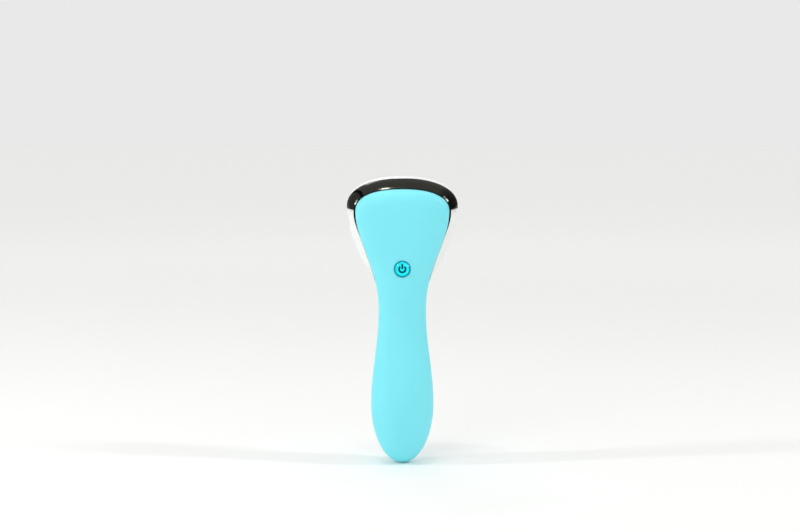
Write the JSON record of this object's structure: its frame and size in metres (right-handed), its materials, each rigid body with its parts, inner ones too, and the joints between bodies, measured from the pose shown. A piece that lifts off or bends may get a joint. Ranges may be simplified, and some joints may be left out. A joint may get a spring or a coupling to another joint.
{
  "type": "handheld light therapy device",
  "caption": "Handheld light therapy device: a paddle-shaped handle with a power button, a dark trim band and a lamp head behind a clear flat window.",
  "frame": {"origin": "middle of the grip, on the parting plane between the front cover and the rear grip", "axes": "+Z along the handle towards the lamp head, -Y out of the front where the button is, +Y out of the window, +X to the right as seen from the front"},
  "size_m": [0.0728, 0.0342, 0.1881],
  "materials": {
    "soft_touch_cyan": "soft-touch satin, no visible grain",
    "white_gloss": "moulded, polished",
    "black_chrome": "black chrome plating on plastic, mirror",
    "button_cyan": "moulded, polished",
    "ring_teal": "moulded, polished",
    "clear_window": "clear, polished",
    "grey_silicone": "matt",
    "led_blue": "water-clear epoxy",
    "led_red": "water-clear epoxy",
    "board_white": "white solder mask",
    "board_green": "green solder mask",
    "black_moulding": "moulded",
    "cream_nylon": "moulded",
    "bright_steel": "nickel plated",
    "cell_sleeve": "shrink sleeve over a metal can",
    "grey_foam": "closed-cell foam",
    "red_lead": "insulated wire",
    "black_lead": "insulated wire",
    "blue_lead": "insulated wire"
  },
  "bodies": {
    "casing": {"front_cover": "soft_touch_cyan", "rear_grip": "soft_touch_cyan", "light_head_housing": "white_gloss", "chrome_trim": "black_chrome", "window_gasket": "grey_silicone", "light_window": "clear_window", "reflector_panel": "board_white", "led_board": "board_white", "led_board_screw_1": "bright_steel", "led_board_screw_2": "bright_steel", "led_board_screw_3": "bright_steel", "led_board_screw_4": "bright_steel", "led_01": "led_blue", "led_02": "led_red", "led_03": "led_blue", "led_04": "led_red", "led_05": "led_blue", "led_06": "led_red", "led_07": "led_blue", "led_08": "led_red", "led_09": "led_blue", "led_10": "led_red", "led_11": "led_blue", "led_12": "led_red", "led_13": "led_blue", "led_14": "led_red", "led_15": "led_blue", "led_16": "led_red", "led_17": "led_blue", "led_18": "led_red", "led_19": "led_blue", "button_ring": "ring_teal", "switch_body": "black_moulding", "control_board": "board_green", "control_board_screw_1": "bright_steel", "control_board_screw_2": "bright_steel", "control_board_screw_3": "bright_steel", "control_board_screw_4": "bright_steel", "controller_chip": "black_moulding", "charger_chip": "black_moulding", "driver_inductor": "black_moulding", "battery_connector": "cream_nylon", "charge_connector": "cream_nylon", "led_connector": "cream_nylon", "led_board_connector": "cream_nylon", "battery_cell": "cell_sleeve", "battery_pad": "grey_foam", "charge_board": "board_green", "charge_socket": "bright_steel", "battery_lead_negative": "black_lead", "battery_lead_positive": "red_lead", "led_lead_blue": "blue_lead", "led_lead_red": "red_lead", "charge_lead_negative": "black_lead", "charge_lead_positive": "red_lead"},
    "button": {"power_button": "button_cyan"},
    "plunger": {"switch_plunger": "black_moulding"}
  },
  "joints": [
    {"name": "button_press", "type": "slide", "parent": "casing", "child": "button", "axis": [0, 1, 0], "range_m": [0, 0.0005], "stiffness_N_per_m": 1500},
    {"name": "plunger_press", "type": "slide", "parent": "casing", "child": "plunger", "axis": [0, 1, 0], "range_m": [0, 0.0005]}
  ],
  "couplings": [
    {"joint": "plunger_press", "follows": "button_press", "ratio": 1}
  ]
}
